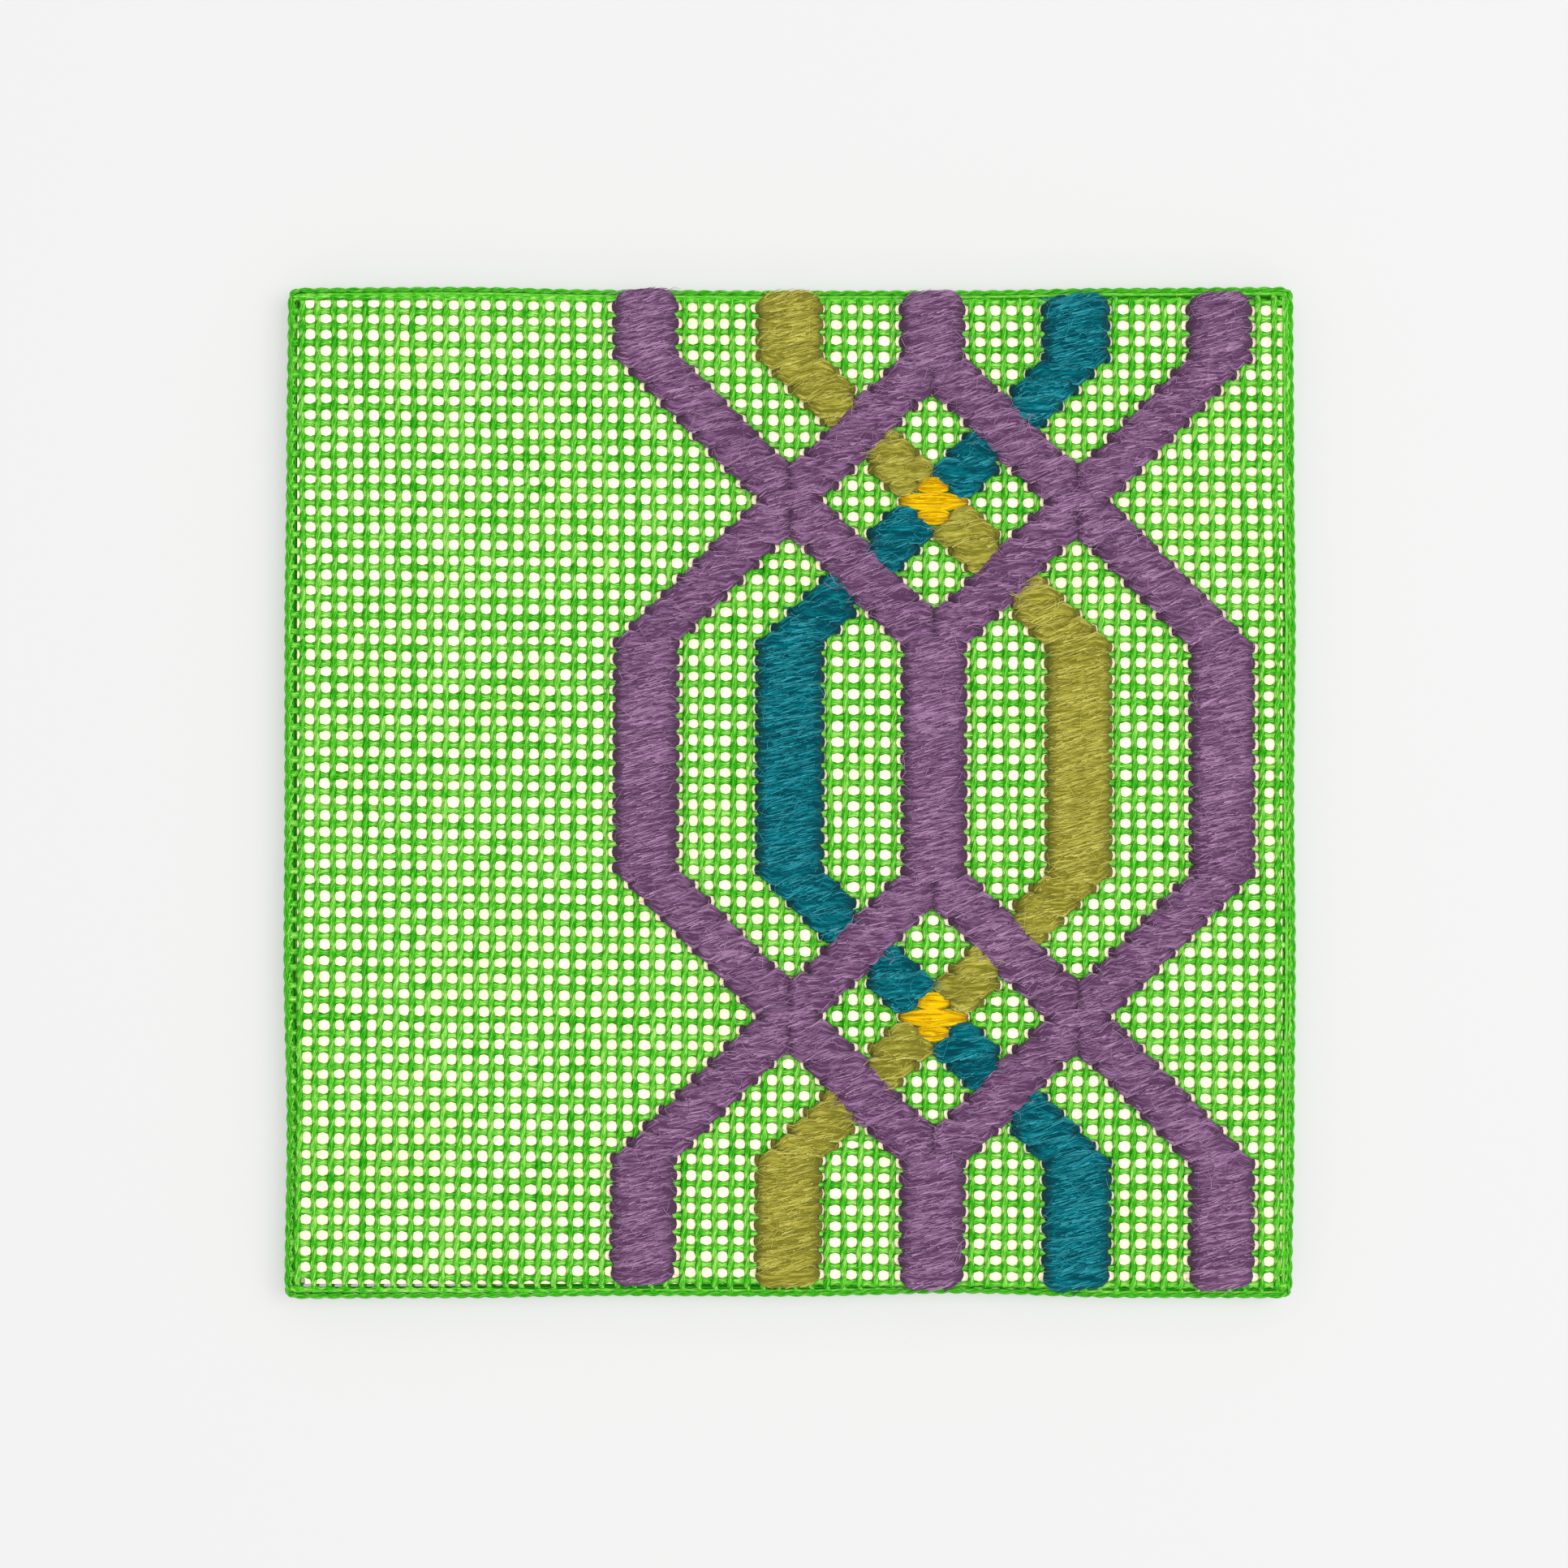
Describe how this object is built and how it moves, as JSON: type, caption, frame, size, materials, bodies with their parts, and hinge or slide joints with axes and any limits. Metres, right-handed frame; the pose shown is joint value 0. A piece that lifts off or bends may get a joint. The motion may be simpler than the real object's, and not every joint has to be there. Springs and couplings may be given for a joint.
{
  "type": "embroidered canvas panel",
  "caption": "Square open-weave needlepoint canvas folded round a thin white board, with a wool trellis in long stitches on its front.",
  "frame": {"origin": "under the middle of the panel, on the surface that its back rests on", "axes": "+Z out of the embroidered face; +X to the right and +Y up as the face is seen; the stitches run along X"},
  "size_m": [0.1602, 0.161, 0.0071],
  "materials": {
    "board": "white paper-faced foam board",
    "canvas": "bright green cotton interlock canvas",
    "purple": "dusty purple wool yarn",
    "olive": "olive wool yarn",
    "teal": "teal wool yarn",
    "yellow": "yellow wool yarn, smoothly laid"
  },
  "bodies": {
    "root": {"board": "board", "canvas": "canvas", "purple_stitches_1": "purple", "olive_stitches_1": "olive", "olive_stitches_2": "olive", "olive_stitches_3": "olive", "olive_stitches_4": "olive", "olive_stitches_5": "olive", "olive_stitches_6": "olive", "olive_stitches_7": "olive", "teal_stitches_1": "teal", "teal_stitches_2": "teal", "teal_stitches_3": "teal", "teal_stitches_4": "teal", "teal_stitches_5": "teal", "teal_stitches_6": "teal", "teal_stitches_7": "teal", "yellow_stitches_1": "yellow", "yellow_stitches_2": "yellow"}
  },
  "joints": []
}
